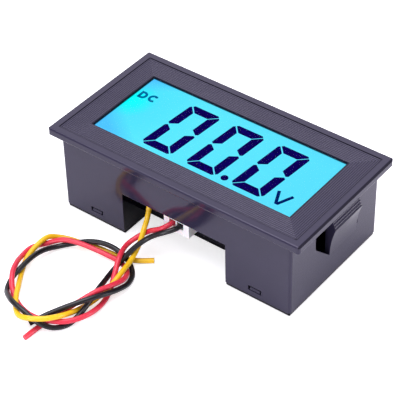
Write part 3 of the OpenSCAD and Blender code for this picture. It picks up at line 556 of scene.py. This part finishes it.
def stroke_mesh(name, lines, width):
    """A flat plate along each line of points, with square ends and mitred corners."""
    sheet = bmesh.new()
    for line in lines:
        line = [Vector((px, py)) * mm for px, py in line]
        sides = []
        for i, here in enumerate(line):
            before = (here - line[i - 1]).normalized() if i else None
            after = (line[i + 1] - here).normalized() if i + 1 < len(line) else None
            first, second = before or after, after or before
            mean = (first + second).normalized()
            out = Vector((-mean.y, mean.x)) * (width / 2 / max(mean.dot(first), 0.35))
            sides.append((here + out, here - out))
        rows = [
            [sheet.verts.new((*p, mark_z + level)) for p in pair for level in (0, mark_t)]
            for pair in sides
        ]
        for a, b in zip(rows, rows[1:]):
            for u, v in ((0, 1), (1, 3), (3, 2), (2, 0)):
                sheet.faces.new((a[u], a[v], b[v], b[u]))
        for end in (rows[0], rows[-1]):
            sheet.faces.new((end[0], end[1], end[3], end[2]))
    bmesh.ops.recalc_face_normals(sheet, faces=sheet.faces[:])
    mesh = bpy.data.meshes.new(name)
    sheet.to_mesh(mesh)
    sheet.free()
    return mesh


def arc(cx, cy, rx, ry, start, stop, steps=10):
    turn = [radians(start + (stop - start) * i / steps) for i in range(steps + 1)]
    return [(cx + rx * cos(a), cy + ry * sin(a)) for a in turn]


letters = {
    "mark_dc": (
        [
            [(-30.2, 4.6), (-30.2, 7.1), *arc(-29.5, 6.0, 1.0, 1.1, 90, -90), (-30.2, 4.9)],
            arc(-26.2, 6.2, 1.05, 1.1, 48, 312, 16),
        ],
        0.68 * mm,
    ),
    "mark_v": ([[(22.6, -5.0), (24.5, -9.15), (25.0, -9.15), (26.75, -4.9)]], 0.85 * mm),
}
mark_colors = {"mark_dc": (0.0, 0.07, 0.16, 1), "mark_v": (0.0, 0.006, 0.06, 1)}
for name, (lines, width) in letters.items():
    # printed marks, whose colour is also given off as emission: the backlight through them painted
    # on as glow
    ink_and_glow = new_material(
        name + "_ink_and_glow", mark_colors[name], 0.5, Specular_IOR_Level=0.0,
        Emission_Color=mark_colors[name], Emission_Strength=0.7,
    )
    mottle(
        ink_and_glow, 2 * mm, tint(mark_colors[name], 1.08), tint(mark_colors[name], 0.92), 0.4, 0.6,
        bump=0.02,
    )
    mesh = stroke_mesh(name, lines, width)
    mesh.materials.append(ink_and_glow)
    new_object(name, mesh)

# ---- Backlight ----
# A white lamp shines into a clear block under the rear glass in the real meter; here it gives no
# light, and its glow is painted on the rear glass instead. White films above and below spread the
# light, and a white frame holds the stack and is riveted to the board.

white_film = new_material("white_film", (0.88, 0.9, 0.92, 1), 0.5)
mottle(white_film, 1 * mm, (0.9, 0.92, 0.94, 1), (0.84, 0.87, 0.9, 1), 0.4, 0.6)
dress("diffuser_film", white_film)
dress("reflector_film", white_film)

acrylic = new_material("clear_acrylic", (0.75, 0.93, 1.0, 1), 0.1, Transmission_Weight=0.7)
mottle(acrylic, 2 * mm, (0.78, 0.94, 1.0, 1), (0.7, 0.9, 1.0, 1), 0.06, 0.16)
dress("light_guide", acrylic)

frame_white = new_material("frame_white", (0.8, 0.8, 0.77, 1), 0.45)
mottle(frame_white, 3 * mm, (0.82, 0.82, 0.79, 1), (0.76, 0.76, 0.73, 1), 0.38, 0.55)
dress("backlight_frame", frame_white)

lamp_white = new_material("lamp_white", (0.9, 0.93, 1.0, 1), 0.35)
mottle(lamp_white, 0.6 * mm, (0.92, 0.95, 1.0, 1), (0.86, 0.88, 0.8, 1), 0.3, 0.45)
dress("backlight_led", lamp_white)

# ---- Rubber strips ----
# Two strips of silicone rubber with fine conducting stripes. They join the glass to the board
# and are held by pressure alone.

stripe_pitch = 0.18 * mm
striped_rubber = new_material("striped_rubber", (0.05, 0.055, 0.08, 1), 0.6)
mottle(striped_rubber, 1 * mm, (0.05, 0.055, 0.08, 1), (0.06, 0.065, 0.1, 1), 0.5, 0.7)
sx = add_node(
    striped_rubber, "ShaderNodeSeparateXYZ", "", Vector=place_socket(striped_rubber)
).outputs[0]
bands = math(striped_rubber, "SINE", math(striped_rubber, "MULTIPLY", sx, 2 * pi / stripe_pitch))
stripes = add_node(striped_rubber, "ShaderNodeValToRGB", "stripes", Fac=bands)
stripes.color_ramp.interpolation = "CONSTANT"
stripes.color_ramp.elements[0].color = (0.02, 0.02, 0.022, 1)
stripes.color_ramp.elements[1].color = (0.16, 0.2, 0.32, 1)
stripes.color_ramp.elements[1].position = 0.5
principled(striped_rubber, Base_Color=stripes.outputs[0])
dress("zebra_strips", striped_rubber)

# ---- Circuit board ----
# Glass-epoxy board under green varnish, with copper tracks showing through, and its parts
# soldered under it: converter chip, capacitors, regulator, diode and small chips.

varnish = new_material("green_varnish", (0.02, 0.16, 0.05, 1), 0.25)
mottle(varnish, 5 * mm, (0.02, 0.17, 0.055, 1), (0.015, 0.13, 0.04, 1), 0.2, 0.32)
tracks = add_node(
    varnish, "ShaderNodeTexBrick", "tracks", Vector=place_socket(varnish),
    Scale=220.0, Color1=(0.02, 0.17, 0.05, 1), Color2=(0.014, 0.12, 0.036, 1),
    Mortar=(0.05, 0.3, 0.1, 1),
)
principled(varnish, Base_Color=tracks.outputs["Color"])
dress("circuit_board", varnish)

moulding_black = new_material("chip_black", (0.016, 0.016, 0.018, 1), 0.5)
mottle(moulding_black, 0.4 * mm, (0.018, 0.018, 0.02, 1), (0.013, 0.013, 0.015, 1), 0.42, 0.6)
for name in ("converter_chip", "voltage_regulator", "input_diode"):
    dress(name, moulding_black)

tin = new_material("tin_plate", (0.7, 0.7, 0.68, 1), 0.3, Metallic=1.0)
mottle(tin, 0.5 * mm, (0.74, 0.74, 0.72, 1), (0.6, 0.6, 0.58, 1), 0.22, 0.4)
for name in ("chip_pins", "component_leads", "crimp_contacts"):
    dress(name, tin)

sleeve_blue = new_material("capacitor_sleeve", (0.01, 0.025, 0.09, 1), 0.28)
mottle(sleeve_blue, 1.5 * mm, (0.012, 0.028, 0.1, 1), (0.008, 0.02, 0.075, 1), 0.22, 0.36)
dress("electrolytic_capacitors", sleeve_blue)

film_black = new_material("resistor_film", (0.02, 0.02, 0.024, 1), 0.35)
mottle(film_black, 0.5 * mm, (0.022, 0.022, 0.026, 1), (0.016, 0.016, 0.02, 1), 0.3, 0.45)
dress("chip_resistors", film_black)

tan_ceramic = new_material("tan_ceramic", (0.4, 0.26, 0.14, 1), 0.45)
mottle(tan_ceramic, 0.4 * mm, (0.42, 0.28, 0.15, 1), (0.36, 0.23, 0.12, 1), 0.38, 0.55)
dress("ceramic_capacitors", tan_ceramic)

solder = new_material("solder", (0.6, 0.61, 0.62, 1), 0.25, Metallic=1.0)
mottle(solder, 0.6 * mm, (0.66, 0.67, 0.68, 1), (0.5, 0.51, 0.53, 1), 0.18, 0.4, bump=0.3)
dress("solder_joints", solder)

# ---- Trimmer ----
# A small calibration trimmer: blue body, white rotor with a cross slot for a screwdriver. The
# rotor turns in the body, which sits under the board.

trimmer_blue = new_material("trimmer_blue", (0.02, 0.1, 0.5, 1), 0.35)
mottle(trimmer_blue, 1 * mm, (0.022, 0.11, 0.52, 1), (0.018, 0.085, 0.44, 1), 0.3, 0.42)
dress("trimmer_body", trimmer_blue)
rotor_white = new_material("rotor_white", (0.82, 0.8, 0.72, 1), 0.4)
mottle(rotor_white, 1 * mm, (0.84, 0.82, 0.74, 1), (0.78, 0.76, 0.68, 1), 0.34, 0.48)
dress("trimmer_rotor", rotor_white)

# ---- Plug and socket ----
# White nylon, slightly translucent. The plug on the red and black leads sits in the socket,
# whose gold-plated pins are soldered in the board.

nylon = new_material(
    "white_nylon", (0.95, 0.95, 0.96, 1), 0.35, Subsurface_Weight=0.2, Subsurface_Scale=0.5 * mm
)
*_, nylon_bump = mottle(
    nylon, 1.2 * mm, (0.96, 0.96, 0.97, 1), (0.91, 0.91, 0.93, 1), 0.3, 0.42
)
rounded_edges(nylon, edge_radius, nylon_bump)
dress("wire_socket", nylon)
dress("wire_plug", nylon)
gilt = new_material("gold_plate", (0.9, 0.62, 0.25, 1), 0.25, Metallic=1.0)
mottle(gilt, 0.5 * mm, (0.92, 0.65, 0.28, 1), (0.84, 0.56, 0.2, 1), 0.2, 0.34)
dress("socket_pins", gilt)

# ---- Floor and light ----
# A white table that glows a little towards the camera, and soft light from above, from both
# sides behind the meter and from its front.

reach, floor_gap, table_glow = 1.5, 0.02 * mm, 0.62
floor_mesh = bpy.data.meshes.new("floor")
floor_mesh.from_pydata(
    [(-reach, -reach, 0), (reach, -reach, 0), (reach, reach, 0), (-reach, reach, 0)],
    [], [(0, 1, 2, 3)],
)
floor = bpy.data.objects.new("floor", floor_mesh)
floor.location.z = -floor_gap
scene.collection.objects.link(floor)
paper = new_material("white_table", (0.85, 0.85, 0.85, 1), 0.9, Specular_IOR_Level=0.1)
rays = add_node(paper, "ShaderNodeLightPath")
seen = math(
    paper, "MAXIMUM", rays.outputs["Is Camera Ray"], rays.outputs["Is Transmission Ray"]
)
lift = add_node(
    paper, "ShaderNodeEmission", "glow", Strength=math(paper, "MULTIPLY", seen, table_glow)
)
both = add_node(paper, "ShaderNodeAddShader")
output = paper.node_tree.nodes["Material Output"]
paper.node_tree.links.new(principled(paper).outputs[0], both.inputs[0])
paper.node_tree.links.new(lift.outputs[0], both.inputs[1])
paper.node_tree.links.new(both.outputs[0], output.inputs["Surface"])
floor_mesh.materials.append(paper)

world = bpy.data.worlds.new("studio")
scene.world = world
world.use_nodes = True
back = world.node_tree.nodes["Background"]
back.inputs["Color"].default_value = (0.93, 0.92, 1, 1)
world_rays = world.node_tree.nodes.new("ShaderNodeLightPath")
strength = world.node_tree.nodes.new("ShaderNodeMapRange")
strength.inputs[3].default_value = 0.45
strength.inputs[4].default_value = 1.0
world.node_tree.links.new(world_rays.outputs["Is Camera Ray"], strength.inputs[0])
world.node_tree.links.new(strength.outputs[0], back.inputs["Strength"])


def softbox(name, place, size, power):
    """A square area lamp aimed at the meter."""
    data = bpy.data.lights.new(name, "AREA")
    data.size = size
    data.energy = power
    data.color = (0.94, 0.91, 1)
    made = bpy.data.objects.new(name, data)
    made.location = place
    made.rotation_euler = (-Vector(place)).to_track_quat("-Z", "Y").to_euler()
    scene.collection.objects.link(made)


softbox("back_left", (-0.42, 0.54, 0.58), 0.8, 1.8)
softbox("overhead", (-0.1, -0.12, 0.93), 0.85, 9.0)
softbox("back_right", (0.72, 0.54, 0.25), 0.5, 6.0)
softbox("front", (0.0, -0.9, 0.25), 0.5, 4.0)

scene.view_settings.view_transform = "Standard"
